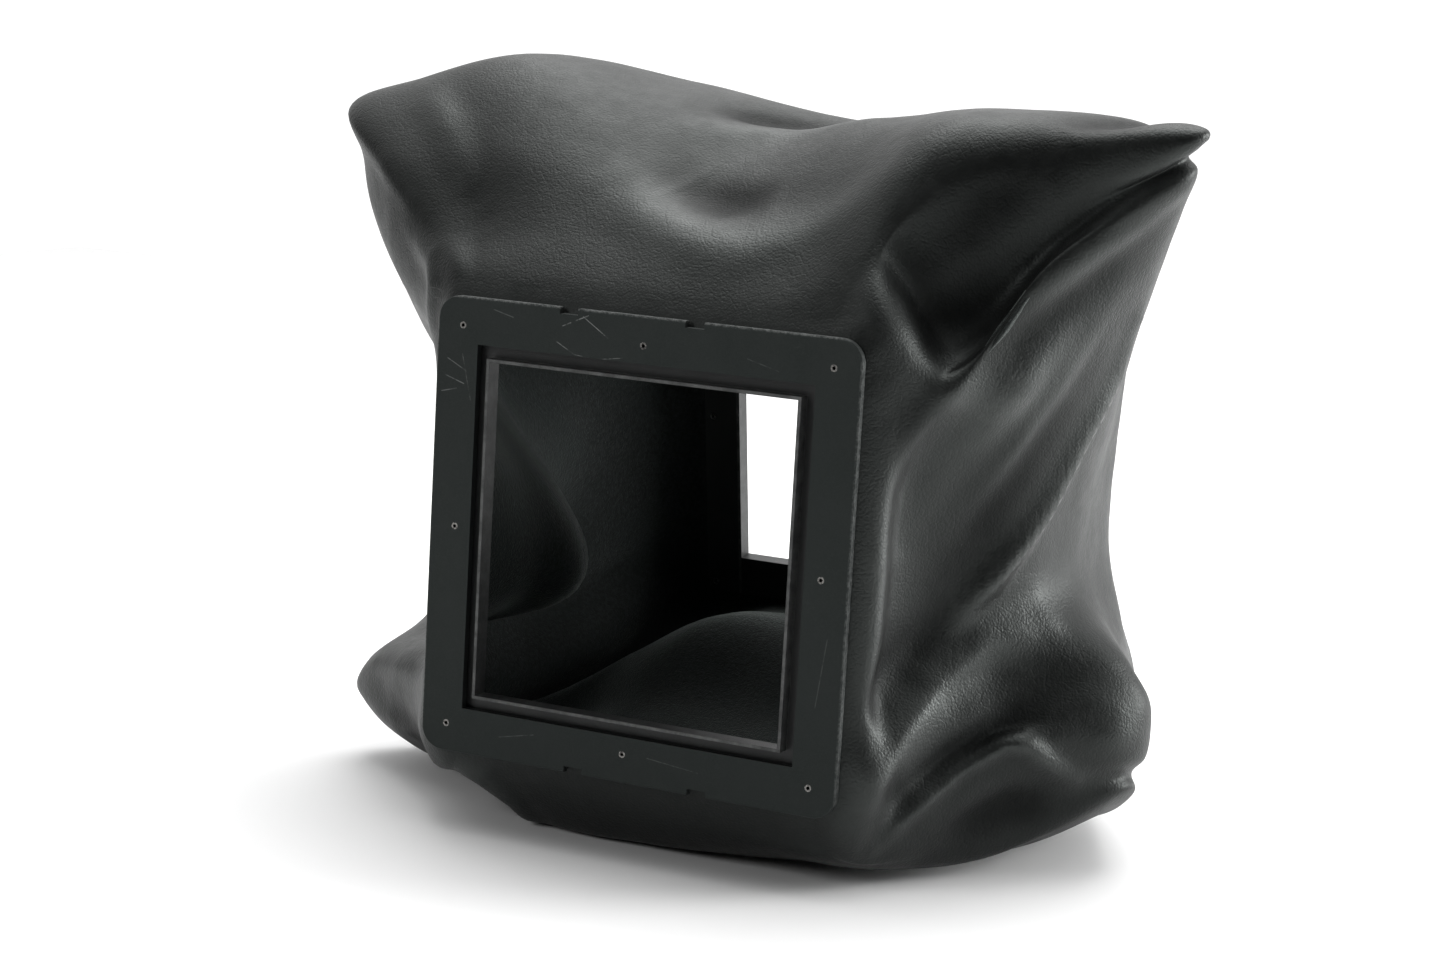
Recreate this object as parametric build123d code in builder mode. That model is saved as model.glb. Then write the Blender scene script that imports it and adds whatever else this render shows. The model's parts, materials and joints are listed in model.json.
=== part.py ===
"""Bag bellows for a view camera.

Two square frames hold the ends of a soft leather bag with a velvet lining. Each frame is a
plate, an inner rim frame that clamps the leather behind it, and eight hollow rivets.
The bag is a front and a rear panel of leather, joined round the middle by a seam welt.
The part stands on the flat underside of the bag. +Z is up, -Y is the front, and the origin
is on the floor at the middle of the overall box.
"""

import os
from math import radians, sin

from build123d import *

# Frame plate
plate_side = 165.0
plate_thick = 2.8
plate_corner = 8.5
plate_band = 16.6  # from the plate's outer edge to its window
plate_edge_break = 0.35
notch_width = 7.3
notch_depth = 2.3
notch_spacing = 49.2
notch_offset = 5.2  # the middle of a pair of notches stands this far off the plate's middle

# Rim frame: a flange behind the plate, and a lip that stands up through the plate's window
groove_width = 4.5  # between the plate's window and the lip
lip_wall = 1.15
lip_proud = 1.0
flange_thick = 2.0
flange_corner = 4.0

# Hollow rivets
rivet_inset = 10.25  # from the plate's outer edge
rivet_radius = 0.95
rivet_bore_radius = 0.65
rivet_head_radius = 1.25
rivet_tail_radius = 1.45
rivet_hole_clearance = 0.05
rivet_head_clearance = 0.02

# Leather and lining
leather_setback = 3.0  # from the plate's outer edge to where the leather leaves the frame
leather_flange = 1.0  # thickness where it is clamped between the plate and the flange
flange_leather_setback = 0.6  # from the plate's window to the clamped leather's edge
leather_wall = 1.9  # measured in the plane of an outline
lining_wall = 1.2
lining_gap = 0.4  # between the lining and the rim frame's flange
welt_width = 7.0
welt_thick = 2.4

# Placing
frame_height = 112.0  # height of the front frame's middle above the floor
frame_distance = 208.5  # between the plates' outer faces, at the rear frame's middle
rear_rise = 20.0
rear_tilt = 9.2  # the rear frame's top leans to the front by this many degrees
front_outline_depth = 42.0  # behind the front plate's outer face
seam_depth = 95.0
rear_outline_setback = 48.5  # in front of the rear plate's outer face

# Outlines of the bag, right half, from the top middle to the bottom middle: x, height
front_outline = [
    (0, 230), (72, 236), (128, 226), (112, 165), (108, 112), (113, 60), (126, 14), (80, 0), (0, 0),
]
seam_outline = [
    (0, 258), (95, 272), (172, 264), (140, 190), (122, 112), (140, 60), (166, 22), (112, 0), (0, 0),
]
rear_outline = [
    (0, 250), (90, 260), (130, 252), (118, 190), (112, 112), (118, 55), (128, 16), (85, 0), (0, 0),
]

# Worked out from the above
plate_window = plate_side - 2 * plate_band
lip_side = plate_window - 2 * groove_width
rim_window = lip_side - 2 * lip_wall
groove_depth = plate_thick + leather_flange
frame_depth = groove_depth + flange_thick
exit_half = plate_side / 2 - leather_setback
flange_side = 2 * (exit_half - leather_wall - lining_wall - lining_gap)
overall_depth = lip_proud + frame_distance + plate_side / 2 * sin(radians(rear_tilt))
front_y = lip_proud - overall_depth / 2
rivet_hole_radius = rivet_radius + rivet_hole_clearance
rivet_spots = [
    (column * (plate_side / 2 - rivet_inset), row * (plate_side / 2 - rivet_inset))
    for column in (-1, 0, 1)
    for row in (-1, 0, 1)
    if (column, row) != (0, 0)
]
notch_spots = [
    (edge * (end * notch_spacing / 2 - notch_offset), edge * plate_side / 2)
    for edge in (-1, 1)
    for end in (-1, 1)
]
exit_outline = [  # the square that the leather leaves a frame from, point for point as above
    (0, exit_half), (exit_half * 0.6, exit_half), (exit_half, exit_half),
    (exit_half, exit_half / 2), (exit_half, 0), (exit_half, -exit_half / 2),
    (exit_half, -exit_half), (exit_half * 0.6, -exit_half), (0, -exit_half),
]

# A frame's plane lies on its plate's outer face, with its normal pointing away from the bag
front_face = Plane(origin=(0, front_y, frame_height), x_dir=(1, 0, 0), z_dir=(0, -1, 0))
rear_face = Plane(
    origin=(0, front_y + frame_distance, frame_height + rear_rise), x_dir=(-1, 0, 0), z_dir=(0, 1, 0)
).rotated((rear_tilt, 0, 0))


def make_plate(face):
    """Flat square plate with a window, rounded corners, latch notches and countersunk holes."""
    with BuildPart() as plate:
        with BuildSketch(face):
            RectangleRounded(plate_side, plate_side, plate_corner)
        extrude(amount=-plate_thick)
        outer = plate.faces().sort_by(Axis(face.origin, face.z_dir))[-1]
        chamfer(outer.edges(), plate_edge_break)
        with BuildSketch(face):
            Rectangle(plate_window, plate_window)
            with Locations(*notch_spots):
                Rectangle(notch_width, 2 * notch_depth)
        extrude(amount=-plate_thick, mode=Mode.SUBTRACT)
        with Locations(face), Locations(*rivet_spots):
            CounterSinkHole(
                rivet_hole_radius, rivet_head_radius + rivet_head_clearance, plate_thick, 90
            )
    return plate.part


def make_rim(face):
    """Inner frame: a flange behind the leather, and a lip that stands through the window."""
    with BuildPart() as rim:
        with BuildSketch(face.offset(-groove_depth)):
            RectangleRounded(flange_side, flange_side, flange_corner)
        extrude(amount=-flange_thick)
        with BuildSketch(face.offset(-groove_depth)):
            Rectangle(lip_side, lip_side)
        extrude(amount=groove_depth + lip_proud)
        with BuildSketch(face.offset(lip_proud)):
            Rectangle(rim_window, rim_window)
        extrude(amount=-(frame_depth + lip_proud), mode=Mode.SUBTRACT)
        with Locations(face.offset(-groove_depth)), Locations(*rivet_spots):
            Hole(rivet_hole_radius, flange_thick)
    return rim.part


def make_rivets(face):
    """Eight hollow rivets, flared flush into the plate and rolled over behind the flange."""
    flare = rivet_head_radius - rivet_radius
    roll = rivet_tail_radius - rivet_radius
    length = frame_depth + roll
    to_front = (Align.CENTER, Align.CENTER, Align.MAX)
    with BuildPart() as rivets:
        with Locations(face), Locations(*rivet_spots):
            Cylinder(rivet_radius, length, align=to_front)
            Cone(rivet_radius, rivet_head_radius, flare, align=to_front)
        with Locations(face.offset(-frame_depth)), Locations(*rivet_spots):
            Cone(rivet_radius, rivet_tail_radius, roll, align=to_front)
        with Locations(face), Locations(*rivet_spots):
            Hole(rivet_bore_radius, length)
    return rivets.part


def inset(half, amount):
    """The closed outline of a right half and its mirror image, moved inwards by amount."""
    outline = half + [(-x, z) for x, z in reversed(half[1:-1])]
    corners = [Vector(*point) for point in outline]
    moved = []
    for count, here in enumerate(corners):
        before = (here - corners[count - 1]).normalized()
        after = (corners[(count + 1) % len(corners)] - here).normalized()
        # the outline runs clockwise, so inwards is to the right of each stretch
        inwards_before = Vector(before.Y, -before.X)
        inwards_after = Vector(after.Y, -after.X)
        share = amount / (1 + inwards_before.dot(inwards_after))
        moved.append(here + (inwards_before + inwards_after) * share)
    return [(point.X, point.Y) for point in moved]


def upright(depth):
    """A plane across the bag at this depth behind the front face, with its origin on the floor."""
    return Plane(origin=(0, front_y + depth, 0), x_dir=(1, 0, 0), z_dir=(0, -1, 0))


def bag_rings(face, toward_seam, behind, depth, outline):
    """Planes and outlines of one side of the bag, from this far behind its plate to the seam."""
    start = Plane(
        origin=face.offset(-behind).origin, x_dir=(1, 0, 0), z_dir=face.z_dir * -toward_seam
    )
    seam = upright(seam_depth + toward_seam * welt_thick / 2)
    return [(start, exit_outline), (upright(depth), outline), (seam, seam_outline)]


def make_shell(rings, outside, inside):
    """A tube of flat and gently twisted faces through the rings, between two insets."""
    with BuildPart() as shell:
        for amount, mode in ((outside, Mode.ADD), (inside, Mode.SUBTRACT)):
            for plane, outline in rings:
                with BuildSketch(plane):
                    Polygon(*inset(outline, amount), align=None)
            loft(ruled=True, mode=mode)
    return shell.part


def make_leather(face, rings):
    """A leather panel: a shell from the frame to the seam, and its clamped flange."""
    with BuildPart() as leather:
        add(make_shell(rings, 0, leather_wall))
        with BuildSketch(face.offset(-plate_thick)):
            Rectangle(2 * exit_half - leather_wall, 2 * exit_half - leather_wall)
            clamped_window = plate_window + 2 * flange_leather_setback
            Rectangle(clamped_window, clamped_window, mode=Mode.SUBTRACT)
        extrude(amount=-leather_flange)
        with Locations(face.offset(-plate_thick)), Locations(*rivet_spots):
            Hole(rivet_hole_radius, leather_flange)
    return leather.part


def make_welt():
    """The flat ring of doubled leather that joins the two panels round the middle of the bag."""
    with BuildPart() as welt:
        with BuildSketch(upright(seam_depth - welt_thick / 2)):
            Polygon(*inset(seam_outline, 0), align=None)
            Polygon(*inset(seam_outline, welt_width), align=None, mode=Mode.SUBTRACT)
        extrude(amount=-welt_thick)
    return welt.part


rear_outline_depth = frame_distance - rear_outline_setback
sides = (
    ("front", front_face, -1, front_outline_depth, front_outline),
    ("rear", rear_face, 1, rear_outline_depth, rear_outline),
)
pieces = {"seam_welt": make_welt()}
for side, face, toward_seam, depth, outline in sides:
    pieces[f"{side}_plate"] = make_plate(face)
    pieces[f"{side}_rim_frame"] = make_rim(face)
    pieces[f"{side}_rivets"] = make_rivets(face)
    leather_rings = bag_rings(face, toward_seam, plate_thick, depth, outline)
    pieces[f"{side}_leather_panel"] = make_leather(face, leather_rings)
    lining_rings = bag_rings(face, toward_seam, groove_depth, depth, outline)
    pieces[f"{side}_lining_panel"] = make_shell(
        lining_rings, leather_wall, leather_wall + lining_wall
    )

os.makedirs("parts", exist_ok=True)
for name, piece in pieces.items():
    piece.label = name
    export_step(piece, f"parts/{name}.step")
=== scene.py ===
"""The looks of the bag bellows: a slack leather bag, its velvet lining and its two frames."""

import json
from math import atan2, radians

import bpy
import numpy as np
from mathutils import Matrix, Vector, noise


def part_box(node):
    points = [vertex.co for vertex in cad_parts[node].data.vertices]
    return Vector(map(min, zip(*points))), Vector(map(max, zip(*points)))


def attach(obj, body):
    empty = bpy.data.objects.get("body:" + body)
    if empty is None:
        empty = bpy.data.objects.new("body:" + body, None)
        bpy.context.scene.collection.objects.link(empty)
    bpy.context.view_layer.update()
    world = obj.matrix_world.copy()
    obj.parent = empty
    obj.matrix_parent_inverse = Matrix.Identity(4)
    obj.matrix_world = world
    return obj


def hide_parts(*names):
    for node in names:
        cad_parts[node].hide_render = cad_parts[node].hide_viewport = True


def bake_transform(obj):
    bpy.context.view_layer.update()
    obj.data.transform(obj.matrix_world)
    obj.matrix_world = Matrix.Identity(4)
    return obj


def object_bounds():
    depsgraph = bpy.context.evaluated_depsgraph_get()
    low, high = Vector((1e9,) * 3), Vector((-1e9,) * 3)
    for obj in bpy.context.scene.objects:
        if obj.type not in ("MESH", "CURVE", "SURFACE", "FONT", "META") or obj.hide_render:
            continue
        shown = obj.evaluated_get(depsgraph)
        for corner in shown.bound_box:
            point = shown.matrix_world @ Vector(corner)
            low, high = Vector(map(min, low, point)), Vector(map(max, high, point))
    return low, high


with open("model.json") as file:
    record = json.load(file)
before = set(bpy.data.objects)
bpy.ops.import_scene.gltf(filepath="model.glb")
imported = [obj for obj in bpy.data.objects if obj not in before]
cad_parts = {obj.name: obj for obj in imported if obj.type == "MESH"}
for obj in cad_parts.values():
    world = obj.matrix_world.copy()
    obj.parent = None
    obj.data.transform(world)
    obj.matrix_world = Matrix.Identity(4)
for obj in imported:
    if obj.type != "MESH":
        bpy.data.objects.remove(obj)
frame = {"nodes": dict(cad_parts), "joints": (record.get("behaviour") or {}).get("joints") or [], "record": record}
cad_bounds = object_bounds()

# ---------------------------------------------------------------- where the frames stand

MM = 0.001
front_low, front_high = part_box("front_plate")
FRONT = Vector((0, front_low.y, (front_low.z + front_high.z) / 2))
MOUNTS = {m["name"]: m for m in frame["record"]["mounts"]}
JOINTS = {j["name"]: j for j in frame["joints"]}
REAR = Vector(JOINTS["rear_tilt"]["pos_m"])
REAR_NORMAL = Vector(MOUNTS["rear_seat"]["axis"])
REAR_LEAN = atan2(REAR_NORMAL.z, REAR_NORMAL.y)

# ---------------------------------------------------------------- the shape of the bag

# Everything here is in millimetres, measured from the middle of the front plate's outer face:
# x to the right, y to the back and z up.

EXIT_HALF = 79.5  # half the side of the square where the leather leaves a frame
EXIT_CORNER = 7.0  # its corner radius
CLAMP_SHARE = 0.87  # the clamped edge of the leather, as a share of that square
CLAMP_DEPTH = 2.9  # of the leather's outer surface behind the plate's outer face
GRID = 2.3  # longest side of a mesh face, round the bag
ALONG = 14  # steps between two rings of the cage
FULL_CREST = 3.5  # a fold at least this high counts as a full crest
FOLD_REACH = 2.6  # half widths from a fold's path to where it is taken to end
FOLD_TIP = 0.04  # share of a fold's length at each end that keeps what height the end has
FOLD_FADE = 0.6  # how a fold gains height from its ends: the smaller, the sooner
MIDDLE_RING = 5  # the cage's ring on the bag's middle fold, counted from the clamped edge

# The cage: for each line, its place on the frame's square (x, z), and then its points on the way
# from the front frame to the rear one. The fourth point lies on the bag's middle fold.
CAGE = [
    # top
    ((0, 80),
     [(0, 8, 88), (0, 28, 107), (-4, 62, 126), (-2, 98, 143),
      (0, 146, 149), (0, 183, 130), (0, 194, 108)]),
    ((40, 80),
     [(42, 8, 88), (46, 28, 109), (46, 58, 136), (42, 96, 151),
      (45, 145, 148), (42, 180, 127), (40, 193, 107)]),
    ((64, 80),
     [(67, 8, 88), (74, 24, 113), (90, 47, 149), (98, 84, 159),
      (92, 130, 152), (78, 172, 128), (66, 191, 106)]),
    # top right ear: the upper leather's lip, the tuck below it, and the lower leather
    ((78, 79.5),
     [(84, 9, 88), (85, 32, 99), (128, 56, 132), (170, 75, 154),
      (146, 112, 149), (115, 155, 123), (86, 186, 105)]),
    ((79.5, 76),
     [(87, 9, 83), (94, 37, 86), (131, 60, 124), (163, 79, 148),
      (143, 114, 143), (115, 156, 119), (87, 187, 101)]),
    ((79.5, 66),
     [(88, 9, 72), (102, 33, 76), (131, 55, 116), (166, 77, 142),
      (148, 114, 138), (118, 156, 114), (88, 188, 94)]),
    ((80, 50),
     [(88, 9, 54), (105, 26, 70), (127, 46, 107), (159, 82, 129),
      (145, 118, 119), (120, 158, 101), (88, 189, 84)]),
    # right side
    ((80, 22),
     [(86.5, 8, 22), (91, 25, 32), (121, 58, 50), (137, 102, 70),
      (126, 138, 62), (114, 170, 52), (90, 196, 40)]),
    ((80, -8),
     [(86.5, 8, -8), (88.5, 26, -6), (112, 66, -3), (121, 103, -6),
      (120, 140, -8), (111, 178, -4), (90, 202, 5)]),
    ((80, -42),
     [(86.5, 8, -44), (88.5, 25, -42), (109, 60, -36), (147, 99, -35),
      (139, 128, -42), (122, 172, -42), (93, 209, -35)]),
    # bottom right ear
    ((80, -66),
     [(87, 8, -68), (94, 22, -68), (118, 56, -53), (156, 99, -53),
      (146, 130, -60), (121, 180, -68), (92, 213, -52)]),
    ((79.5, -76),
     [(86, 9, -84), (95, 24, -86), (121, 56, -63), (155, 97, -68),
      (146, 130, -74), (119, 184, -78), (89, 215, -62)]),
    ((78, -79.5),
     [(83, 8, -89), (88, 18, -98), (119, 59, -82), (151, 98, -74),
      (140, 134, -82), (114, 187, -86), (84, 216, -68)]),
    ((66, -80),
     [(71, 8, -91), (81, 15, -100.5), (113, 61, -101), (153, 99, -80),
      (134, 142, -98), (104, 190, -96), (70, 217, -71)]),
    ((44, -80),
     [(47, 8, -91), (52, 16, -102), (82, 54, -109), (120, 100, -105),
      (98, 150, -106), (66, 186, -76), (46, 212, -64)]),
    # bottom
    ((0, -80),
     [(0, 7, -90), (0, 18, -106), (0, 36, -111), (0, 92, -111),
      (0, 146, -96), (-6, 184, -62), (0, 209, -62)]),
    ((-40, -80),
     [(-42, 7, -90), (-46, 20, -106), (-58, 42, -111), (-80, 92, -111),
      (-72, 148, -96), (-60, 184, -64), (-42, 210, -62)]),
    # bottom left ear
    ((-64, -80),
     [(-68, 7, -89), (-79, 22, -94), (-104, 46, -99), (-138, 82, -104),
      (-116, 130, -109), (-94, 184, -84), (-68, 214, -68)]),
    ((-78, -79.5),
     [(-83, 9, -88), (-98, 25, -88), (-124, 48, -91), (-157, 79, -90),
      (-139, 114, -97), (-112, 172, -95), (-84, 215, -66)]),
    ((-79.5, -76),
     [(-87, 9, -82), (-100, 26, -82), (-127, 49, -84), (-160, 79, -86),
      (-137, 116, -90), (-112, 172, -88), (-88, 214, -62)]),
    ((-80, -64),
     [(-88, 9, -66), (-101, 26, -67), (-129, 50, -69), (-155, 80, -75),
      (-136, 122, -81), (-110, 172, -76), (-90, 212, -52)]),
    ((-80, -42),
     [(-87, 9, -43), (-89, 28, -46), (-98, 54, -49), (-135, 88, -57),
      (-147, 124, -55), (-118, 170, -46), (-90, 208, -34)]),
    # left side
    ((-80, -10),
     [(-85, 9, -10), (-82, 28, -14), (-76, 58, -22), (-72, 88, -30),
      (-112, 120, -20), (-114, 165, 0), (-90, 200, 4)]),
    ((-80, 34),
     [(-87, 9, 36), (-91, 26, 42), (-108, 50, 52), (-143, 86, 62),
      (-142, 124, 60), (-112, 166, 52), (-89, 194, 42)]),
    # top left ear
    ((-80, 64),
     [(-87, 9, 68), (-102, 24, 78), (-135, 48, 93), (-166, 83, 116),
      (-146, 120, 114), (-114, 163, 96), (-88, 188, 78)]),
    ((-79.5, 76),
     [(-86, 9, 83), (-102, 24, 93), (-138, 47, 114), (-168, 80, 131),
      (-147, 117, 130), (-116, 161, 112), (-87, 187, 92)]),
    ((-78, 79.5),
     [(-83, 9, 88), (-100, 24, 100), (-139, 46, 124), (-172, 76, 141),
      (-150, 114, 142), (-118, 160, 122), (-85, 186, 105)]),
    ((-69, 80),
     [(-72, 8, 88), (-82, 25, 104), (-110, 50, 131), (-148, 84, 153),
      (-130, 127, 152), (-101, 167, 128), (-72, 189, 106)]),
    ((-56, 80),
     [(-58, 8, 88), (-64, 26, 106), (-84, 54, 136), (-116, 94, 163),
      (-108, 140, 160), (-84, 174, 134), (-58, 191, 107)]),
    ((-28, 80),
     [(-30, 8, 88), (-32, 28, 107), (-38, 60, 132), (-52, 100, 154),
      (-58, 148, 157), (-42, 181, 132), (-30, 193, 108)]),
]

# Folds and creases on the cage's smooth surface: height (negative for a valley), half width, and
# the points that they run through.
FOLDS = [
    # the deep pocket beside the top right corner of the front plate, and the rolls around it
    (-2.5, 10, [(116, 50, 106), (106, 43, 95), (97, 38, 87), (92, 34, 80)]),
    (-5, 11, [(120, 62, 152), (138, 76, 157), (150, 94, 153), (146, 112, 150)]),
    (2.5, 4.5, [(140, 60, 131), (150, 65, 139), (160, 70, 147), (170, 76, 154)]),
    (-2, 9, [(118, 52, 140), (106, 44, 128), (96, 36, 112)]),
    (2.2, 9, [(73, 24, 118), (78, 20, 98), (91, 18, 76), (107, 27, 63), (120, 45, 64), (130, 60, 74)]),
    (2, 6, [(164, 78, 136), (144, 60, 116), (131, 51, 105), (119, 43, 93)]),
    (-2, 8, [(152, 72, 112), (134, 57, 96), (122, 46, 84), (116, 39, 74)]),
    # the long fold from the top right ear down the right side, and the lines beside it
    (5, 5.2, [(143, 100, 88), (138, 99, 67), (130, 88, 45), (121, 77, 20),
              (111, 63, -2), (104, 50, -18), (98, 38, -34)]),
    (-2, 11, [(132, 74, 66), (121, 62, 38), (111, 52, 14), (103, 40, -6), (98, 30, -22)]),
    (2.5, 9, [(134, 60, 97), (118, 46, 62), (104, 31, 35), (94, 21, 7)]),
    (2, 5, [(144, 76, 96), (130, 64, 66), (115, 50, 34), (104, 38, 10)]),
    # the roll along the plate's right edge
    (2.5, 7, [(86, 8, 62), (87, 10, 30), (87, 11, 0), (87, 11, -40), (86, 10, -78)]),
    # the fan of folds from the bottom right corner of the front plate, and the bulge beside it
    (3, 9, [(150, 78, -38), (155, 84, -52), (156, 88, -66)]),
    (6, 8, [(86, 8, -86), (90, 14, -70), (94, 24, -56), (101, 40, -40),
            (111, 60, -26), (124, 82, -20)]),
    (-4, 9, [(88, 9, -52), (93, 20, -36), (99, 36, -26), (106, 54, -14)]),
    (-8, 8, [(136, 104, -39), (126, 86, -45), (117, 64, -54), (108, 44, -66), (98, 28, -78)]),
    (5, 4, [(88, 20, -94), (98, 30, -82), (110, 43, -69), (121, 56, -60),
            (126, 62, -60), (132, 70, -67), (139, 80, -74)]),
    (-5, 9, [(100, 46, -95), (118, 66, -84), (132, 80, -84)]),
    # the top: a soft brow above the plate, a hollow behind it, and a low ridge across
    (2.5, 12, [(-40, 50, 124), (-22, 38, 116), (3, 28, 107), (22, 25, 106),
               (38, 29, 112), (55, 35, 122), (72, 37, 134)]),
    (-3, 12, [(-18, 58, 125), (4, 50, 120), (24, 50, 124)]),
    (1.6, 8, [(-30, 86, 140), (-9, 96, 143), (20, 100, 147), (44, 94, 152)]),
    (-4, 9, [(-34, 108, 146), (-4, 116, 147), (26, 116, 150)]),
    (-2, 11, [(-120, 60, 138), (-96, 40, 118), (-78, 26, 102)]),
    (2.5, 8, [(-138, 74, 150), (-112, 54, 132), (-90, 34, 112)]),
    # left: the roll along the plate's left edge, and the fold from its bottom left corner
    (2.5, 6, [(-99, 20, 60), (-97, 17, 84), (-101, 21, 92), (-117, 33, 100)]),
    (3.5, 5, [(-74, 7, -88), (-62, 9, -93), (-52, 17, -102), (-48, 30, -112)]),
    (-4, 10, [(-128, 56, -86), (-108, 38, -92), (-92, 24, -94)]),
    # behind
    (4, 9, [(150, 110, 130), (134, 146, 106), (112, 172, 70), (98, 192, 40)]),
    (-4, 9, [(140, 128, 112), (126, 156, 84), (108, 176, 48)]),
    (3.5, 9, [(-150, 112, 128), (-128, 148, 100), (-106, 172, 66), (-94, 190, 34)]),
    (-5, 12, [(-140, 130, 112), (-120, 158, 84), (-100, 180, 50)]),
    (4, 8, [(60, 176, 130), (30, 172, 136), (-10, 172, 138), (-50, 172, 140)]),
    (-4, 9, [(70, 160, 140), (30, 160, 142), (-30, 160, 146)]),
    (4, 8, [(132, 140, -62), (118, 176, -48), (100, 200, -30)]),
    (-5, 9, [(128, 156, -80), (112, 188, -66), (96, 206, -50)]),
    (4, 8, [(-134, 130, -76), (-118, 170, -60), (-98, 198, -40)]),
    (-4, 9, [(-124, 150, -90), (-108, 184, -76), (-92, 206, -60)]),
]


def on_square(x, z):
    """A point of the square that the leather leaves the frame from, with rounded corners."""
    straight = EXIT_HALF - EXIT_CORNER
    x, z = np.clip(x, -EXIT_HALF, EXIT_HALF), np.clip(z, -EXIT_HALF, EXIT_HALF)
    out_x, out_z = abs(x) - straight, abs(z) - straight
    if out_x > 0 and out_z > 0:
        share = EXIT_CORNER / np.hypot(out_x, out_z)
        x = np.sign(x) * (straight + out_x * share)
        z = np.sign(z) * (straight + out_z * share)
    return x, z


def on_rear(x, z):
    """The point behind the rear plate that has this place on it."""
    along = np.array([-np.sin(REAR_LEAN), np.cos(REAR_LEAN)])
    depth = np.array([np.cos(REAR_LEAN), np.sin(REAR_LEAN)])
    centre = np.array((REAR - FRONT).yz) / MM
    y, height = centre + z * along - CLAMP_DEPTH * depth
    return x, y, height


def cage_points():
    """The cage as an array: line, ring, xyz, with the clamped edges and the exits added."""
    lines = []
    for place, middle in CAGE:
        x, z = on_square(*place)
        inner_x, inner_z = x * CLAMP_SHARE, z * CLAMP_SHARE
        front = [(inner_x, CLAMP_DEPTH, inner_z), (x, CLAMP_DEPTH, z)]
        lines.append(front + middle + [on_rear(x, z), on_rear(inner_x, inner_z)])
    return np.array(lines, float)


def smooth_through(points, steps, closed):
    """A cubic curve through the points of axis 0, with so many steps from each to the next."""
    starts, ends = (points, np.roll(points, -1, 0)) if closed else (points[:-1], points[1:])
    gap = np.linalg.norm(ends - starts, axis=2).mean(axis=1)[:, None, None]
    slope = (ends - starts) / gap
    if closed:
        before, gap_before = np.roll(slope, 1, 0), np.roll(gap, 1, 0)
        leaving = (slope * gap_before + before * gap) / (gap + gap_before)
        arriving = np.roll(leaving, -1, 0)
    else:
        middle = (slope[1:] * gap[:-1] + slope[:-1] * gap[1:]) / (gap[1:] + gap[:-1])
        leaving = np.concatenate([slope[:1], middle])
        arriving = np.concatenate([middle, slope[-1:]])
    curve = []
    for count, number in enumerate(steps):
        t = (np.arange(number) / number)[:, None, None]
        curve.append(
            (2 * t**3 - 3 * t**2 + 1) * starts[count]
            + (t**3 - 2 * t**2 + t) * leaving[count] * gap[count]
            + (3 * t**2 - 2 * t**3) * ends[count]
            + (t**3 - t**2) * arriving[count] * gap[count]
        )
    return np.concatenate(curve if closed else curve + [points[-1:]])


def surface_normals(surface):
    """Outward normals of a surface given as line, ring, xyz and closed round its lines."""
    around = np.roll(surface, -1, 0) - np.roll(surface, 1, 0)
    along = np.gradient(surface, axis=1)
    normal = np.cross(around, along)
    return normal / np.maximum(np.linalg.norm(normal, axis=2, keepdims=True), 1e-9)


def nearness(surface, path, width):
    """1 on a path, falling off to 0 over its half width, and towards its two ends."""
    path = np.array(path, float)
    near = np.zeros(surface.shape[:2])
    reach = FOLD_REACH * width
    close = ((surface > path.min(0) - reach) & (surface < path.max(0) + reach)).all(axis=2)
    points, best = surface[close], np.zeros(close.sum())
    lengths = np.linalg.norm(np.diff(path, axis=0), axis=1)
    run = np.concatenate([[0], np.cumsum(lengths)]) / lengths.sum()
    for count, length in enumerate(lengths):
        step = path[count + 1] - path[count]
        t = np.clip(((points - path[count]) @ step) / length**2, 0, 1)
        gap = np.linalg.norm(points - path[count] - t[:, None] * step, axis=1)
        along = run[count] + t * (run[count + 1] - run[count])
        fade = np.sin(np.pi * np.clip(along, FOLD_TIP, 1 - FOLD_TIP)) ** FOLD_FADE
        best = np.maximum(best, fade * np.exp(-((gap / width) ** 2)))
    near[close] = best
    return near


def bag_surface():
    """The leather's outer surface (line, ring, xyz) and how much each point stands on a crest."""
    cage = cage_points()
    gaps = np.linalg.norm(np.roll(cage, -1, 0) - cage, axis=2).max(axis=1)
    steps = 2 * np.maximum(2, np.round(gaps / GRID / 2)).astype(int)
    surface = smooth_through(cage, steps, closed=True).transpose(1, 0, 2)
    surface = smooth_through(surface, [ALONG] * (surface.shape[0] - 1), closed=False)
    surface = surface.transpose(1, 0, 2)
    normal = surface_normals(surface)
    push = np.zeros(surface.shape[:2])
    crest = np.zeros(surface.shape[:2])
    for height, width, path in FOLDS:
        near = nearness(surface, path, width)
        push += height * near
        crest += np.clip(height / FULL_CREST, -1, 1) * near
    return surface + normal * push[..., None], crest


# ---------------------------------------------------------------- the pieces of the bag

# In millimetres behind the front plate's outer face: where one body of the bag hands over to the
# next (a pair, from where that begins to where it ends), and where one piece ends (a single number).
FRONT_SPLIT = 26
SEAM_SPLIT = 90
REAR_START = 159  # the rear edge's part begins no further forward than this
# The same, measured forwards from the rear plate's outer face.
REAR_SPLIT = 33

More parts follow.
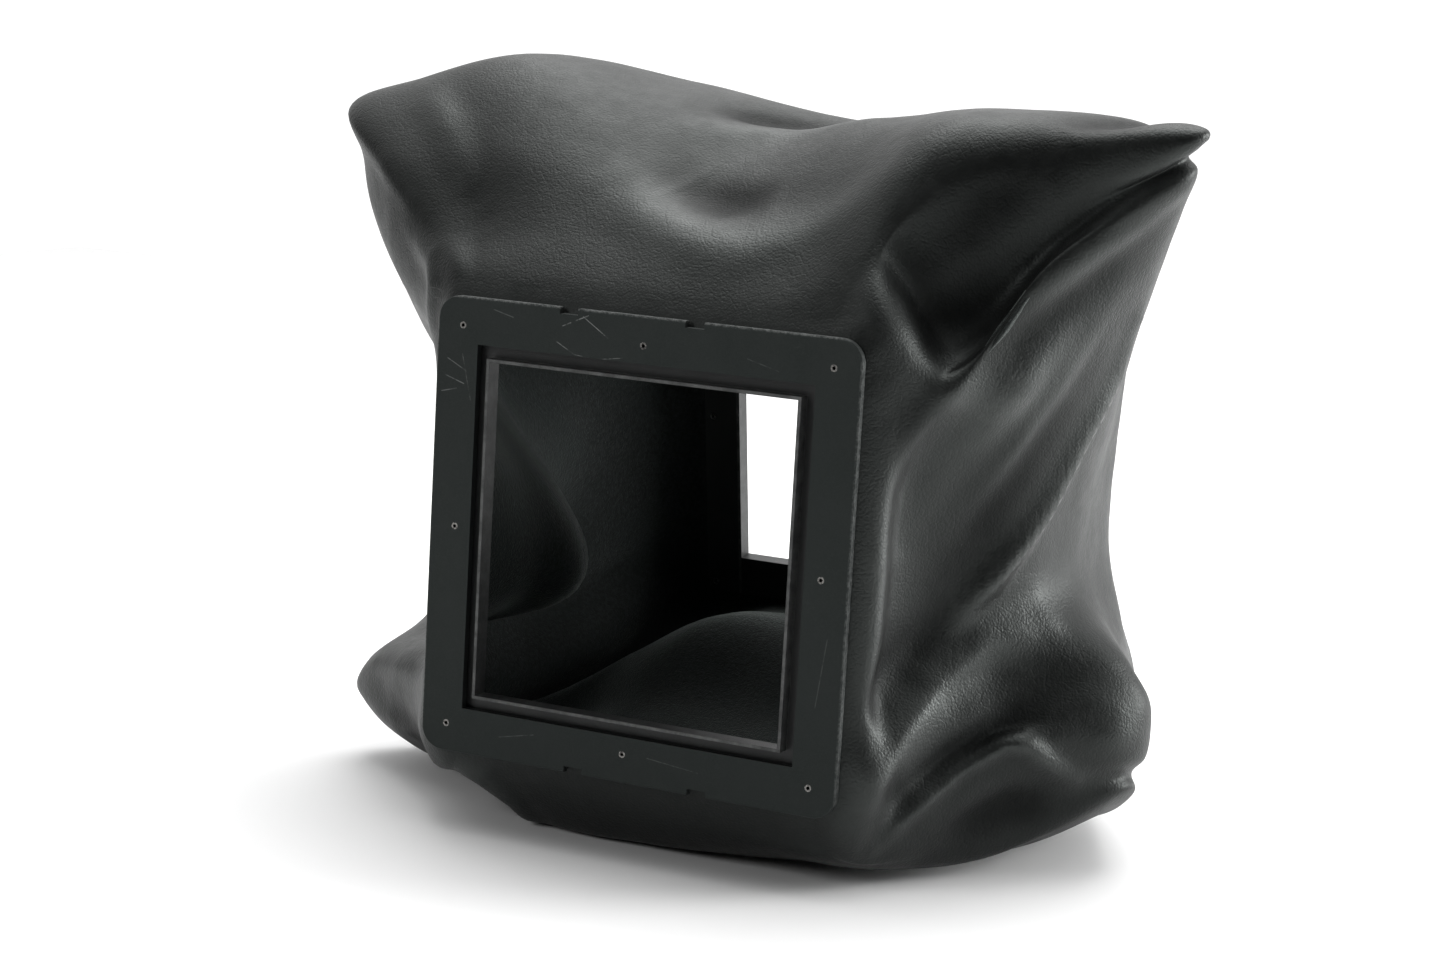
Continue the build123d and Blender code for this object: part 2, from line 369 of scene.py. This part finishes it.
LEATHER_WALL = 1.0
LINING_GAP = 0.7  # between the leather and the lining
LINING_WALL = 0.8
WELT_THICK = 2.2  # of the reinforcing strip behind the bag's middle fold
WELT_WIDE = 7.0
WELT_AIR = 0.25  # on each side of it
WELT_DIP = 0.55  # half width of the lining's dip round it, as a share of the gap between two rings
WELT_SQUARE = (0.5, 0.7)  # how square its section is across and up: 1 is an ellipse, 0 a box
WELT_STEPS = 20  # points round its section
LINING_STEP = 2  # the lining has every second point of the leather's grid
UNEVEN_RISE = 0.35  # of the leather's slow unevenness
UNEVEN_SIZES = ((0.034, 1.0), (0.013, 0.5))  # its scales in metres, and the share of each
FLOOR_AIR, FLOOR_SOFT = 0.1, 1.2  # how close the leather comes to the floor, and how gently


def in_frame(points):
    """Metres in the shared frame, of points in millimetres from the middle of the front plate."""
    return np.asarray(points) * MM + np.array(FRONT)


def zones(centres):
    """Which of the four parts of the bag each face belongs to (0 the foremost), from its centre."""
    before_rear = (np.array(REAR) - in_frame(centres)) @ np.array(REAR_NORMAL) / MM
    zone = np.full(centres.shape[:-1], 2)
    zone[centres[..., 1] < SEAM_SPLIT] = 1
    zone[centres[..., 1] < FRONT_SPLIT] = 0
    zone[(before_rear < REAR_SPLIT) & (centres[..., 1] > REAR_START)] = 3
    return zone


def grid_faces(lines, rings):
    """Corner numbers of the outward faces of a grid that is closed round its lines."""
    line, ring = np.meshgrid(np.arange(lines), np.arange(rings - 1), indexing="ij")
    beside = (line + 1) % lines
    corners = [line * rings + ring, beside * rings + ring, beside * rings + ring + 1]
    return np.stack(corners + [line * rings + ring + 1], axis=-1)


def shell_faces(chosen, corners, count):
    """Faces of a closed shell over the chosen faces of a grid of this many points."""
    faces = [corners[chosen], corners[chosen][:, ::-1] + count]
    around = [np.roll(chosen, 1, 0), np.roll(chosen, -1, 0)]
    before, after = np.zeros_like(chosen), np.zeros_like(chosen)
    before[:, 1:], after[:, :-1] = chosen[:, :-1], chosen[:, 1:]
    sides = ((0, 1, before), (1, 2, around[1]), (2, 3, after), (3, 0, around[0]))
    for first, second, neighbour in sides:
        edge = corners[chosen & ~neighbour][:, [first, second]]
        wall = [edge[:, 1], edge[:, 0], edge[:, 0] + count, edge[:, 1] + count]
        faces.append(np.stack(wall, axis=-1))
    return np.concatenate(faces)


def make_piece(name, points, normals, faces, crest=None):
    """A mesh object from those of the points that the faces use, with the normals it is given."""
    used, numbers = np.unique(faces, return_inverse=True)
    mesh = bpy.data.meshes.new(name)
    mesh.from_pydata(in_frame(points[used]).tolist(), [], numbers.reshape(faces.shape).tolist())
    mesh.polygons.foreach_set("use_smooth", [True] * len(mesh.polygons))
    mesh.normals_split_custom_set_from_vertices(normals[used].tolist())
    if crest is not None:
        mesh.attributes.new("crest", "FLOAT", "POINT").data.foreach_set("value", crest[used])
    piece = bpy.data.objects.new(name, mesh)
    bpy.context.collection.objects.link(piece)
    return piece


def make_layer(name, outer, wall, crest):
    """The four parts of one layer of the bag, as closed shells that meet without a gap."""
    normal = surface_normals(outer)
    lines, rings = outer.shape[:2]
    points = np.concatenate([outer.reshape(-1, 3), (outer - normal * wall).reshape(-1, 3)])
    normals = np.concatenate([normal.reshape(-1, 3), -normal.reshape(-1, 3)])
    crests = np.concatenate([crest.ravel(), crest.ravel()])
    corners = grid_faces(lines, rings)
    zone = zones(points[corners].mean(axis=2))
    parts = []
    for number, part in enumerate(("front_edge", "front", "rear", "rear_edge")):
        faces = shell_faces(zone == number, corners, lines * rings)
        parts.append(make_piece(f"{name}_{part}", points, normals, faces, crests))
    return parts


def blend_layer(parts):
    """Bakes each part's placement into its mesh."""
    front_edge, front_half, rear_half, rear_edge = parts
    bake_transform(front_edge)
    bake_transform(front_half)
    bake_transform(rear_half)
    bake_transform(rear_edge)


# ---------------------------------------------------------------- shader helpers

LINE_CORE = 0.3  # share of a drawn line's width that is at full strength


class Shader:
    """A node material that is built by short calls, with Principled BSDF at its end."""

    def __init__(self, name, **constants):
        self.material = bpy.data.materials.new(name)
        self.material.use_nodes = True
        self.tree = self.material.node_tree
        self.surface = self.tree.nodes["Principled BSDF"]
        for socket, value in constants.items():
            self.surface.inputs[socket.replace("_", " ")].default_value = value
        self.place = self.add("ShaderNodeTexCoord").outputs["Object"]

    def feed(self, socket, value):
        """Links a socket to an input, or sets the input to a constant."""
        if isinstance(value, bpy.types.NodeSocket):
            self.tree.links.new(value, socket)
        else:
            socket.default_value = value

    def add(self, kind, inputs=(), **settings):
        """A node of this kind with these settings, and with its inputs fed."""
        node = self.tree.nodes.new(kind)
        for key, value in settings.items():
            setattr(node, key, value)
        for key, value in dict(inputs).items():
            self.feed(node.inputs[key], value)
        return node

    def math(self, operation, *values, clamp=False):
        """The result of one arithmetic operation."""
        inputs = dict(enumerate(values))
        return self.add("ShaderNodeMath", inputs, operation=operation, use_clamp=clamp).outputs[0]

    def times(self, first, second):
        """The product of two values."""
        return self.math("MULTIPLY", first, second)

    def axis(self, name):
        """One coordinate of the point, in metres."""
        return self.add("ShaderNodeSeparateXYZ", {0: self.place}).outputs[name]

    def noise(self, size, detail=3.0, roughness=0.5, distortion=0.0, stretch=None):
        """Noise from 0 to 1 whose features are about size metres across."""
        where = self.place
        if stretch:
            scaled = self.add("ShaderNodeVectorMath", {0: where, 1: stretch}, operation="MULTIPLY")
            where = scaled.outputs[0]
        inputs = {
            "Vector": where,
            "Scale": 1 / size,
            "Detail": detail,
            "Roughness": roughness,
            "Distortion": distortion,
        }
        return self.add("ShaderNodeTexNoise", inputs).outputs["Fac"]

    def cells(self, size, feature="F1", smooth=None):
        """Distance from the middle, or to the edge, of cells about size metres across."""
        inputs = {"Vector": self.place, "Scale": 1 / size}
        if smooth is not None:
            feature = "SMOOTH_F1"
            inputs["Smoothness"] = smooth
        return self.add("ShaderNodeTexVoronoi", inputs, feature=feature).outputs["Distance"]

    def ramp(self, value, low, high, out_low=0.0, out_high=1.0):
        """A smooth step from out_low to out_high as the value goes from low to high."""
        inputs = {
            "Value": value,
            "From Min": low,
            "From Max": high,
            "To Min": out_low,
            "To Max": out_high,
        }
        step = self.add("ShaderNodeMapRange", inputs, interpolation_type="SMOOTHSTEP")
        return step.outputs["Result"]

    def mix(self, share, first, second):
        """A mix of two colours, each given as three numbers or a socket."""
        node = self.add("ShaderNodeMix", data_type="RGBA")
        self.feed(node.inputs[0], share)
        for socket, colour in ((node.inputs[6], first), (node.inputs[7], second)):
            self.feed(socket, colour if isinstance(colour, bpy.types.NodeSocket) else (*colour, 1))
        return node.outputs[2]

    def bump(self, *layers):
        """Adds bumps one after another: each layer is (height, depth in metres, strength)."""
        normal = None
        for height, depth, strength in layers:
            inputs = {"Height": height, "Distance": depth, "Strength": strength}
            if normal:
                inputs["Normal"] = normal
            normal = self.add("ShaderNodeBump", inputs).outputs["Normal"]
        self.feed(self.surface.inputs["Normal"], normal)

    def finish(self, colour, roughness):
        """The material, with its colour and roughness in place."""
        self.feed(self.surface.inputs["Base Color"], colour)
        self.feed(self.surface.inputs["Roughness"], roughness)
        return self.material

    def attribute(self, name):
        """A number that the mesh carries on its points."""
        return self.add("ShaderNodeAttribute", attribute_name=name).outputs["Fac"]

    def most(self, values):
        """The largest of several values."""
        largest = values[0]
        for value in values[1:]:
            largest = self.math("MAXIMUM", largest, value)
        return largest

    def line_mask(self, across, along, start, end, width):
        """1 on the straight line from start to end, in the plane of two coordinates, fading off it."""
        run = (end[0] - start[0], end[1] - start[1])
        square = run[0] ** 2 + run[1] ** 2
        from_x = self.math("SUBTRACT", across, start[0])
        from_z = self.math("SUBTRACT", along, start[1])
        dot = self.math("ADD", self.times(from_x, run[0]), self.times(from_z, run[1]))
        share = self.math("DIVIDE", dot, square, clamp=True)
        gap_x = self.math("SUBTRACT", from_x, self.times(share, run[0]))
        gap_z = self.math("SUBTRACT", from_z, self.times(share, run[1]))
        squares = self.math("ADD", self.math("POWER", gap_x, 2.0), self.math("POWER", gap_z, 2.0))
        gap = self.math("SQRT", squares)
        return self.ramp(gap, width, width * LINE_CORE)


# ---------------------------------------------------------------- materials

HIDE_DARK, HIDE_PALE = (0.0042, 0.0046, 0.0045), (0.0075, 0.008, 0.0079)
HIDE_MOTTLE = (0.012, 0.0124, 0.0123)
HIDE_WORN = (0.034, 0.034, 0.0335)
HIDE_SCUFF = (0.12, 0.119, 0.117)
# painted shade: the darker colour put in the furrows between the grain's pebbles
HIDE_FURROW_SHADE = (0.004, 0.004, 0.004)
HIDE_SHINE = (0.92, 1, 0.96, 1)  # a slightly green polish
HIDE_GLOSS = (0.07, 0.5)  # specular level in the deepest valleys, and on the highest crests


def hide_wear(shader):
    """Where the hide is worn, and where it is scuffed: the crests, and streaks anywhere."""
    worn = shader.ramp(shader.attribute("crest"), 0.3, 0.95)
    worn = shader.times(worn, shader.ramp(shader.noise(0.009, 4, 0.65), 0.36, 0.66))
    scuffs = shader.ramp(shader.noise(0.0035, 5, 0.7, stretch=(0.3, 1, 1.6)), 0.66, 0.76)
    return worn, scuffs


def leather_material():
    """Soft black hide with a pebbled grain, painted shade in its furrows, fine creases and glossier, worn crests.
    """
    shader = Shader("pebbled_leather", Specular_Tint=HIDE_SHINE)
    pebbles = shader.cells(0.00095, smooth=0.4)
    furrows = shader.ramp(shader.cells(0.0034, "DISTANCE_TO_EDGE"), 0.0, 0.12)
    fibres = shader.noise(0.0003, 2)
    creases = shader.noise(0.006, 5, 0.6, 1.4, stretch=(1, 1, 0.5))
    patches = shader.noise(0.045, 4, 0.6)
    mottle = shader.noise(0.006, 3, 0.6)
    worn, scuffs = hide_wear(shader)
    colour = shader.mix(shader.ramp(patches, 0.3, 0.7), HIDE_DARK, HIDE_PALE)
    colour = shader.mix(shader.ramp(mottle, 0.35, 0.7, 0.0, 0.35), colour, HIDE_MOTTLE)
    colour = shader.mix(shader.times(worn, 0.4), colour, HIDE_WORN)
    colour = shader.mix(shader.times(scuffs, 0.12), colour, HIDE_SCUFF)
    # painted shade: darker in the furrows between the grain's pebbles
    colour = shader.mix(shader.ramp(furrows, 0.5, 0.0, 0.0, 0.3), colour, HIDE_FURROW_SHADE)
    shader.bump(
        (creases, 0.0005, 0.24),
        (furrows, 0.00014, 0.22),
        (pebbles, -0.00024, 0.4),
        (fibres, 0.00004, 0.3),
    )
    gloss = shader.ramp(shader.attribute("crest"), -0.8, 0.9, *HIDE_GLOSS)
    shader.feed(shader.surface.inputs["Specular IOR Level"], gloss)
    rough = shader.ramp(patches, 0.3, 0.7, 0.4, 0.47)
    rough = shader.math("ADD", rough, shader.ramp(mottle, 0.3, 0.8, 0.0, 0.07))
    return shader.finish(colour, shader.math("SUBTRACT", rough, shader.times(worn, 0.05)))


PILE_DARK, PILE_PALE = (0.006, 0.0078, 0.0074), (0.012, 0.0152, 0.0146)
PILE_TUFT = (0.021, 0.0265, 0.0255)
PILE_LINT = (0.16, 0.165, 0.16)
PILE_SHEEN = (0.72, 0.8, 0.76, 1)


def velvet_material():
    """Black-green pile, brushed one way and another, that shines along its edges."""
    shader = Shader(
        "velvet_pile",
        Specular_IOR_Level=0.2,
        Sheen_Weight=0.4,
        Sheen_Roughness=0.42,
        Sheen_Tint=PILE_SHEEN,
    )
    pile = shader.noise(0.0006, 2, 0.6)
    tufts = shader.noise(0.0016, 3, 0.7)
    brushed = shader.noise(0.03, 2, 0.5)
    lint = shader.ramp(shader.noise(0.0011, 2, 0.8), 0.735, 0.78)
    colour = shader.mix(shader.ramp(brushed, 0.35, 0.65), PILE_DARK, PILE_PALE)
    colour = shader.mix(shader.ramp(tufts, 0.35, 0.7, 0.0, 0.6), colour, PILE_TUFT)
    colour = shader.mix(shader.times(lint, 0.4), colour, PILE_LINT)
    shader.bump((tufts, 0.0007, 0.4), (pile, 0.0004, 0.8))
    return shader.finish(colour, shader.ramp(brushed, 0.3, 0.7, 0.78, 0.94))


WEB_DARK, WEB_PALE = (0.012, 0.012, 0.012), (0.035, 0.034, 0.033)


def welt_material():
    """A strip of black cotton webbing, woven across its length."""
    shader = Shader("webbing", Specular_IOR_Level=0.3)
    threads = shader.noise(0.0007, 2, 0.6, stretch=(1, 0.3, 1))
    colour = shader.mix(threads, WEB_DARK, WEB_PALE)
    shader.bump((threads, 0.0004, 0.8), (shader.noise(0.004, 2), 0.0004, 0.4))
    return shader.finish(colour, shader.ramp(threads, 0.3, 0.7, 0.75, 0.9))


SPECKLE_LIFT, RUBBED_LIFT = 1.7, 2.3  # how much paler than the paint the two marks are
# pale metal: bare metal where the paint is worn through, and a painted highlight along the rim's window lip
BARE_METAL_AND_HIGHLIGHT = (0.17, 0.175, 0.172)


def metal_with_wear_and_highlight(name, dark, pale, bare_marks_and_highlight_of, rough, **constants):
    """Painted metal: a fine speckle, faint handling marks, and the marks it is given: bare metal, and on the rim's
    lip a painted highlight.
    """
    shader = Shader(name, **constants)
    speckle = shader.noise(0.0007, 3, 0.7)
    cloud = shader.noise(0.028, 4, 0.6, 0.5)
    rubbed = shader.noise(0.006, 5, 0.7, stretch=(1, 1, 2.2))
    colour = shader.mix(shader.ramp(cloud, 0.3, 0.7), dark, pale)
    speckled = tuple(SPECKLE_LIFT * part for part in pale)
    handled = tuple(RUBBED_LIFT * part for part in pale)
    colour = shader.mix(shader.ramp(speckle, 0.35, 0.75, 0.0, 0.3), colour, speckled)
    colour = shader.mix(shader.ramp(rubbed, 0.6, 0.8, 0.0, 0.25), colour, handled)
    marks = bare_marks_and_highlight_of(shader)
    # the given marks in pale metal: bare metal on the plates, a painted highlight along the rim's lip
    colour = shader.mix(marks, colour, BARE_METAL_AND_HIGHLIGHT)
    shader.bump((speckle, 0.00012, 0.5), (rubbed, 0.0001, 0.25), (marks, -0.00015, 0.5))
    clouded = shader.ramp(cloud, 0.3, 0.7, *rough)
    return shader.finish(colour, shader.math("ADD", clouded, shader.ramp(speckle, 0.3, 0.8, 0.0, 0.08)))


PLATE_HALF = (front_high.x - front_low.x) / 2 / MM
# Marks on the front plate: start, end (x and height from its middle, in millimetres) and strength.
SCRATCHES = [
    ((-22, 80.5), (-32, 76), 0.9),
    ((-24, 80), (-14, 73.5), 0.7),
    ((-34, 70.2), (-27, 66.5), 0.6),
    ((-27, 66.5), (-18, 65.6), 0.6),
    ((-18, 65.6), (-8, 67.2), 0.5),
    ((-78, 60), (-70, 56), 0.5),
    ((-79, 54), (-71, 51.5), 0.6),
    ((-80, 48), (-74, 49.5), 0.5),
    ((-72, 62), (-68, 46), 0.35),
    ((-60, 79), (-52, 77), 0.3),
    ((40, 72), (52, 69), 0.2),
    ((76, -20), (73, -44), 0.2),
    ((10, -72), (30, -74), 0.22),
    ((-50, -74), (-36, -71), 0.25),
]
SCRATCH_WIDTH = 0.26
EDGE_RUB = (0.95, 0.1)  # the paint is rubbed off the plate's edges from this far in to this far in
TOP_RUB, SIDE_RUB = 0.55, 0.3  # and how strongly, on its top edge and on its sides


def from_middle(shader):
    """How far right of the front plate's middle the point lies, and how far above it, in metres."""
    across = shader.math("SUBTRACT", shader.axis("X"), FRONT.x)
    height = shader.math("SUBTRACT", shader.axis("Z"), FRONT.z)
    return across, height


def plate_marks(shader):
    """Scratches on the front plate and paint rubbed off its edges, as a mask."""
    across, height = from_middle(shader)
    breaks = shader.ramp(shader.noise(0.0035, 4, 0.7), 0.36, 0.6)
    marks = []
    for start, end, strength in SCRATCHES:
        start, end = Vector(start) * MM, Vector(end) * MM
        line = shader.line_mask(across, height, start, end, SCRATCH_WIDTH * MM)
        marks.append(shader.times(shader.times(line, strength), breaks))
    inner, outer = ((PLATE_HALF - inset) * MM for inset in EDGE_RUB)
    top = shader.ramp(height, inner, outer)
    side = shader.ramp(shader.math("ABSOLUTE", across), inner, outer)
    edges = shader.math("MAXIMUM", shader.times(top, TOP_RUB), shader.times(side, SIDE_RUB))
    bitten = shader.ramp(shader.noise(0.0016, 5, 0.8), 0.4, 0.62)
    marks.append(shader.times(edges, bitten))
    return shader.most(marks)


PAINT_DARK, PAINT_PALE = (0.0095, 0.0108, 0.0105), (0.0145, 0.016, 0.0157)
PAINT_SHINE = (0.86, 1, 0.95, 1)  # a slightly green sheen


def plate_material():
    """Matte charcoal paint on the aluminium plates."""
    shine = {"Specular_IOR_Level": 0.2, "Specular_Tint": PAINT_SHINE}
    return metal_with_wear_and_highlight("charcoal_paint", PAINT_DARK, PAINT_PALE, plate_marks, (0.46, 0.58), **shine)


# The lip of the front frame's window, painted pale as a highlight with brighter bare spots: begins, is full,
# is full, ends, in millimetres from the plate's middle.
LIP = (60.0, 60.6, 61.2, 61.9)


def rim_lip_highlight(shader):
    """A painted highlight along the lip of the front frame's window, stronger in bare spots."""
    across, height = (shader.math("ABSOLUTE", place) for place in from_middle(shader))
    out = shader.math("MAXIMUM", across, height)
    inner = shader.ramp(out, LIP[0] * MM, LIP[1] * MM)
    outer = shader.ramp(out, LIP[3] * MM, LIP[2] * MM)
    # never below 0.12, so the whole lip carries a painted highlight line, stronger in bare spots
    bitten = shader.ramp(shader.noise(0.006, 4, 0.7), 0.35, 0.66, 0.12, 0.45)
    return shader.times(shader.times(inner, outer), bitten)


ANODISED_DARK, ANODISED_PALE = (0.008, 0.0088, 0.0088), (0.013, 0.014, 0.014)


def rim_material():
    """Black anodised frame inside the plate, a little glossier than the paint, with a painted highlight along its
    window's lip.
    """
    shine = {"Metallic": 0.15, "Specular_IOR_Level": 0.4}
    return metal_with_wear_and_highlight("black_anodised", ANODISED_DARK, ANODISED_PALE, rim_lip_highlight, (0.36, 0.48), **shine)


STEEL_DARK, STEEL_BARE = (0.03, 0.03, 0.03), (0.2, 0.195, 0.185)


def rivet_material():
    """Blackened steel rivets, worn bare in spots."""
    shader = Shader("rivet_steel", Metallic=1.0)
    bare = shader.ramp(shader.noise(0.0007, 4, 0.7), 0.34, 0.56)
    colour = shader.mix(bare, STEEL_DARK, STEEL_BARE)
    shader.bump((shader.noise(0.0003, 3), 0.00005, 0.6))
    return shader.finish(colour, shader.ramp(bare, 0, 1, 0.48, 0.3))


# ---------------------------------------------------------------- building the bag


def uneven(surface, normal):
    """The surface with the slow unevenness of hide that has been handled, none at the frames."""
    rise = np.zeros(surface.shape[0] * surface.shape[1])
    flat = [Vector(point) for point in in_frame(surface).reshape(-1, 3)]
    for size, share in UNEVEN_SIZES:
        rise += [share * noise.noise(point / size) for point in flat]
    fade = np.ones(surface.shape[1])
    fade[: 2 * ALONG] = np.linspace(0, 1, 2 * ALONG)
    fade[-2 * ALONG :] = np.linspace(1, 0, 2 * ALONG)
    return surface + normal * (rise.reshape(surface.shape[:2]) * fade * UNEVEN_RISE)[..., None]


def above_floor(surface):
    """The surface with what would sink through the floor laid flat on it."""
    above = (surface[..., 2] + FRONT.z / MM - FLOOR_AIR) / FLOOR_SOFT
    surface = surface.copy()
    surface[..., 2] += FLOOR_SOFT * (np.logaddexp(0, above) - above)
    return surface


def make_bag():
    """The leather's outer surface and its normals, and the four parts of leather and of lining."""
    surface, crest = bag_surface()
    surface = above_floor(uneven(surface, surface_normals(surface)))
    normal = surface_normals(surface)
    leather = make_layer("leather", surface, LEATHER_WALL, crest)
    from_welt = (np.arange(surface.shape[1]) - MIDDLE_RING * ALONG) / (WELT_DIP * ALONG)
    dip = np.exp(-(from_welt**4)) * (WELT_THICK + 2 * WELT_AIR)
    depth = LEATHER_WALL + LINING_GAP + dip
    inside = surface - normal * depth[None, :, None]
    coarse = np.s_[::LINING_STEP, ::LINING_STEP]
    lining = make_layer("lining", inside[coarse], LINING_WALL, crest[coarse])
    return surface, normal, leather, lining


def welt_section():
    """Points round the welt's section: how far along the bag, and how far above its own top."""
    angles = 2 * np.pi * np.arange(WELT_STEPS) / WELT_STEPS
    cosine, sine = np.cos(angles), np.sin(angles)
    across, up = WELT_SQUARE
    sideways = np.sign(cosine) * abs(cosine) ** across * WELT_WIDE / 2
    upward = np.sign(sine) * abs(sine) ** up * WELT_THICK / 2 - WELT_THICK / 2
    return sideways, upward


def make_welt(surface, normal):
    """The strip that runs round the bag behind its middle fold, between leather and lining."""
    middle = MIDDLE_RING * ALONG
    along = surface[:, middle + 1] - surface[:, middle - 1]
    along /= np.linalg.norm(along, axis=1, keepdims=True)
    top = surface[:, middle] - normal[:, middle] * (LEATHER_WALL + WELT_AIR)
    sideways, upward = welt_section()
    points = (
        top[:, None]
        + along[:, None] * sideways[None, :, None]
        + normal[:, middle][:, None] * upward[None, :, None]
    )
    lines = points.shape[0]
    line, step = np.meshgrid(np.arange(lines), np.arange(WELT_STEPS), indexing="ij")
    beside, next_step = (line + 1) % lines, (step + 1) % WELT_STEPS
    corners = ((line, step), (line, next_step), (beside, next_step), (beside, step))
    faces = np.stack([one * WELT_STEPS + other for one, other in corners], axis=-1).reshape(-1, 4)
    outward = points - points.mean(axis=1, keepdims=True)
    return make_piece("welt", points.reshape(-1, 3), outward.reshape(-1, 3), faces)


def add_bag():
    """Makes every piece of the bag, gives it its material, hangs the welt on the seam's body and hides the CAD
    pieces that the bag replaces.
    """
    surface, normal, leather, lining = make_bag()
    welt = make_welt(surface, normal)
    for parts, material, slot in (
        (leather, leather_material(), "leather"),
        (lining, velvet_material(), "velvet_lining"),
        ([welt], welt_material(), "welt"),
    ):
        for part in parts:
            part.data.materials.append(material)
    blend_layer(leather)
    blend_layer(lining)
    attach(welt, "seam")
    for parts, kind in ((leather, "leather"), (lining, "lining")):
        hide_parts(f"front_{kind}_panel")
        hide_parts(f"front_{kind}_panel")
        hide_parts(f"rear_{kind}_panel")
        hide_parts(f"rear_{kind}_panel")
    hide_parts("seam_welt")


def dress_frames():
    """Finishes of the two frames, which stay as they are in CAD."""
    for material, nodes in (
        (plate_material(), ("front_plate", "rear_plate")),
        (rim_material(), ("front_rim_frame", "rear_rim_frame")),
        (rivet_material(), ("front_rivets", "rear_rivets")),
    ):
        for node in nodes:
            for slot in frame["nodes"][node].material_slots:
                slot.material = material


# ---------------------------------------------------------------- studio

CAMERA_AT = Vector((0.4989, -0.9475, 0.2009))  # from the middle of the front plate
CAMERA_TURN, CAMERA_DOWN, CAMERA_ROLL = radians(26.17), radians(9.26), radians(3.26)
CAMERA_LENS = 78.1
FLOOR_SIZE = 3.0
FLOOR_PALE = ((0.93, 0.93, 0.93), (0.95, 0.95, 0.95))
ROOM_FADE = {"From Min": -0.15, "From Max": 0.75, "To Min": 0.04, "To Max": 1.2}
UPWARD_SHARE = 0.7  # how much upwards counts against backwards, as the room gets brighter
LAMP_TARGET = (0, 0, 0.14)
# The lamps: name, side in metres, watts and place.
LAMPS = [
    ("overhead", 1.6, 31, (-0.1, 0.6, 1.7)),
    ("right_rear", 0.6, 16, (1.15, 0.7, 0.4)),
    ("front_left", 0.6, 6, (-0.8, -1.4, 0.8)),
]


def add_camera():
    """The camera, turned left, tipped down and rolled a little, and made the scene's own."""
    ahead = Vector((-np.sin(CAMERA_TURN), np.cos(CAMERA_TURN), 0)) * np.cos(CAMERA_DOWN)
    ahead.z = -np.sin(CAMERA_DOWN)
    level = Vector((np.cos(CAMERA_TURN), np.sin(CAMERA_TURN), 0))
    right = level * np.cos(CAMERA_ROLL) + level.cross(ahead) * np.sin(CAMERA_ROLL)
    up = right.cross(ahead)
    camera = bpy.data.objects.new("camera", bpy.data.cameras.new("camera"))
    camera.data.lens = CAMERA_LENS
    camera.matrix_world = Matrix((right, up, -ahead)).transposed().to_4x4()
    camera.location = FRONT + CAMERA_AT
    bpy.context.collection.objects.link(camera)
    bpy.context.scene.camera = camera


def add_light(name, size, watts, place):
    """A soft square lamp that faces the object."""
    lamp = bpy.data.lights.new(name, "AREA")
    lamp.size, lamp.energy = size, watts
    light = bpy.data.objects.new(name, lamp)
    light.location = place
    aim = Vector(LAMP_TARGET) - Vector(place)
    light.rotation_euler = aim.to_track_quat("-Z", "Y").to_euler()
    bpy.context.collection.objects.link(light)


def add_floor():
    """A wide pale floor that the bag stands on."""
    mesh = bpy.data.meshes.new("floor")
    half = FLOOR_SIZE / 2
    corners = [(-half, -half, 0), (half, -half, 0), (half, half, 0), (-half, half, 0)]
    mesh.from_pydata(corners, [], [(0, 1, 2, 3)])
    floor = bpy.data.objects.new("floor", mesh)
    floor.location.z = cad_bounds[0].z
    bpy.context.collection.objects.link(floor)
    shader = Shader("pale_floor", Specular_IOR_Level=0.2)
    colour = shader.mix(shader.noise(0.3, 2), *FLOOR_PALE)
    mesh.materials.append(shader.finish(colour, 0.8))


def add_world():
    """A room that is bright behind and above the bag and dark in front, and that is seen as white."""
    world = bpy.data.worlds.new("studio")
    world.use_nodes = True
    tree = world.node_tree
    nodes, link = tree.nodes, tree.links.new
    background = nodes["Background"]
    direction = nodes.new("ShaderNodeTexCoord").outputs["Generated"]
    parts = nodes.new("ShaderNodeSeparateXYZ")
    link(direction, parts.inputs[0])
    upward = nodes.new("ShaderNodeMath")
    upward.operation = "MULTIPLY_ADD"
    upward.inputs[1].default_value = UPWARD_SHARE
    link(parts.outputs["Z"], upward.inputs[0])
    link(parts.outputs["Y"], upward.inputs[2])
    fade = nodes.new("ShaderNodeMapRange")
    fade.interpolation_type = "SMOOTHSTEP"
    for socket, value in ROOM_FADE.items():
        fade.inputs[socket].default_value = value
    link(upward.outputs[0], fade.inputs["Value"])
    seen = nodes.new("ShaderNodeMath")
    seen.operation = "MAXIMUM"
    link(nodes.new("ShaderNodeLightPath").outputs["Is Camera Ray"], seen.inputs[0])
    link(fade.outputs["Result"], seen.inputs[1])
    background.inputs["Color"].default_value = (1, 1, 1, 1)
    link(seen.outputs[0], background.inputs["Strength"])
    bpy.context.scene.world = world


def add_studio():
    """The room and its lamps: a large one above and behind, and two smaller ones lower down."""
    add_world()
    bpy.context.scene.view_settings.view_transform = "Standard"
    for lamp in LAMPS:
        add_light(*lamp)


dress_frames()
add_bag()
add_camera()
add_floor()
add_studio()
